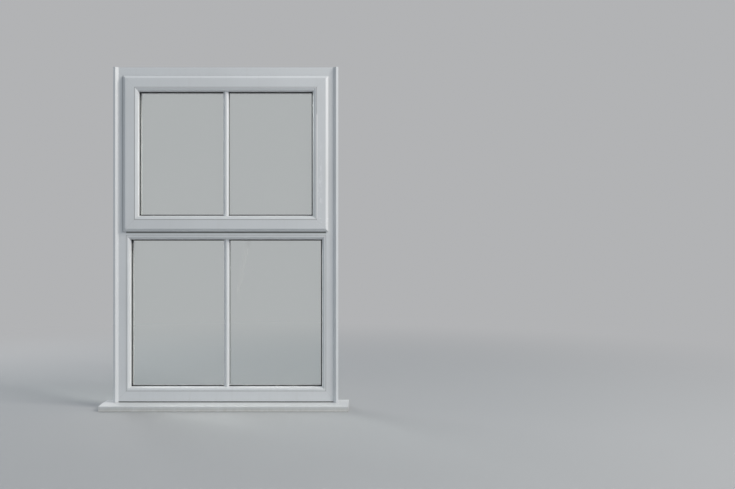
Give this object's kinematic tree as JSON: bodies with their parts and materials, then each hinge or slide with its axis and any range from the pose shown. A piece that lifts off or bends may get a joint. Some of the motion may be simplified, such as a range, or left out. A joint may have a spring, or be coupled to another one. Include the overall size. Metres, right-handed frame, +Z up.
{
  "type": "mock sash window",
  "caption": "White plastic window with a top-hung opening sash over a fixed light, slim bars, a projecting sill and a room-side handle.",
  "frame": {"origin": "underside of the sill, at the middle of the width, in the plane of the frame's outer face", "axes": "+Z up; +Y from the outside to the room, through the depth; +X to the right seen from outside"},
  "size_m": [1.185, 0.1683, 1.65],
  "materials": {
    "upvc_white": "white, smooth with a soft shine",
    "handle_white": "white powder coat",
    "gasket_black": "matt black",
    "edge_sealant": "matt black",
    "clear_glass": "clear float glass",
    "spacer_silver": "mill finish",
    "zinc_steel": "zinc plated",
    "stay_steel": "satin stainless",
    "packer_plastic": "blue moulded plastic",
    "button_chrome": "polished"
  },
  "bodies": {
    "frame": {"edge_trim_left": "upvc_white", "edge_trim_right": "upvc_white", "espag_keeps": "stay_steel", "fixed_bar_inner": "upvc_white", "fixed_bar_outer": "upvc_white", "fixed_beads_rails": "upvc_white", "fixed_beads_sides": "upvc_white", "fixed_edge_seal": "edge_sealant", "fixed_gasket_inner": "gasket_black", "fixed_gasket_outer": "gasket_black", "fixed_packers": "packer_plastic", "fixed_pane_inner": "clear_glass", "fixed_pane_outer": "clear_glass", "fixed_spacer": "spacer_silver", "frame_base": "upvc_white", "frame_head": "upvc_white", "frame_jamb_left": "upvc_white", "frame_jamb_right": "upvc_white", "frame_seal": "gasket_black", "frame_transom": "upvc_white", "sill": "upvc_white", "sill_end_cap_left": "upvc_white", "sill_end_cap_right": "upvc_white", "stay_tracks": "stay_steel", "steel_frame_jambs": "zinc_steel", "steel_frame_rails": "zinc_steel", "steel_frame_transom": "zinc_steel", "track_screws": "stay_steel"},
    "support_arms": {"stay_support_arms": "stay_steel"},
    "sash": {"espag_faceplate": "stay_steel", "espag_gearbox": "zinc_steel", "handle_base": "handle_white", "handle_screws": "stay_steel", "sash_bar_inner": "upvc_white", "sash_bar_outer": "upvc_white", "sash_beads_rails": "upvc_white", "sash_beads_sides": "upvc_white", "sash_bottom_rail": "upvc_white", "sash_edge_seal": "edge_sealant", "sash_gasket_inner": "gasket_black", "sash_gasket_outer": "gasket_black", "sash_packers": "packer_plastic", "sash_pane_inner": "clear_glass", "sash_pane_outer": "clear_glass", "sash_seal": "gasket_black", "sash_spacer": "spacer_silver", "sash_stile_left": "upvc_white", "sash_stile_right": "upvc_white", "sash_top_rail": "upvc_white", "stay_vent_bars": "stay_steel", "steel_sash_rails": "zinc_steel", "steel_sash_stiles": "zinc_steel", "vent_bar_screws": "stay_steel"},
    "shoe_arms": {"stay_shoe_arms": "stay_steel"},
    "shoes": {"stay_shoes": "stay_steel"},
    "handle": {"espag_pinion": "zinc_steel", "handle_lever": "handle_white", "handle_spindle": "zinc_steel"},
    "lock_rod": {"espag_rod": "stay_steel"},
    "lock_button": {"lock_button": "button_chrome"}
  },
  "joints": [
    {"name": "support_arm_swing", "type": "hinge", "parent": "frame", "child": "support_arms", "pos_m": [0, 0.018, 1.278], "axis": [1, 0, 0], "range_deg": [0, 40]},
    {"name": "sash_swing", "type": "hinge", "parent": "support_arms", "child": "sash", "pos_m": [0, 0.018, 1.448], "axis": [-1, 0, 0], "range_deg": [0, 80]},
    {"name": "shoe_arm_swing", "type": "hinge", "parent": "sash", "child": "shoe_arms", "pos_m": [0, 0.018, 1.553], "axis": [1, 0, 0], "range_deg": [0, 80]},
    {"name": "shoe_tilt", "type": "hinge", "parent": "shoe_arms", "child": "shoes", "pos_m": [0, 0.018, 1.488], "axis": [-1, 0, 0], "range_deg": [0, 40]},
    {"name": "handle_turn", "type": "hinge", "parent": "sash", "child": "handle", "pos_m": [-0.016, 0.053, 0.902], "axis": [0, 1, 0], "range_deg": [0, 90]},
    {"name": "lock_rod_slide", "type": "slide", "parent": "sash", "child": "lock_rod", "axis": [1, 0, 0], "range_m": [-0.02, 0]},
    {"name": "lock_button_press", "type": "slide", "parent": "handle", "child": "lock_button", "axis": [0, -1, 0], "range_m": [0, 0.0025], "stiffness_N_per_m": 300}
  ],
  "couplings": [
    {"joint": "support_arm_swing", "follows": "sash_swing", "ratio": 0.5},
    {"joint": "shoe_arm_swing", "follows": "sash_swing", "ratio": 1},
    {"joint": "shoe_tilt", "follows": "sash_swing", "ratio": 0.5},
    {"joint": "lock_rod_slide", "follows": "handle_turn", "m_per_rad": -0.01273}
  ]
}
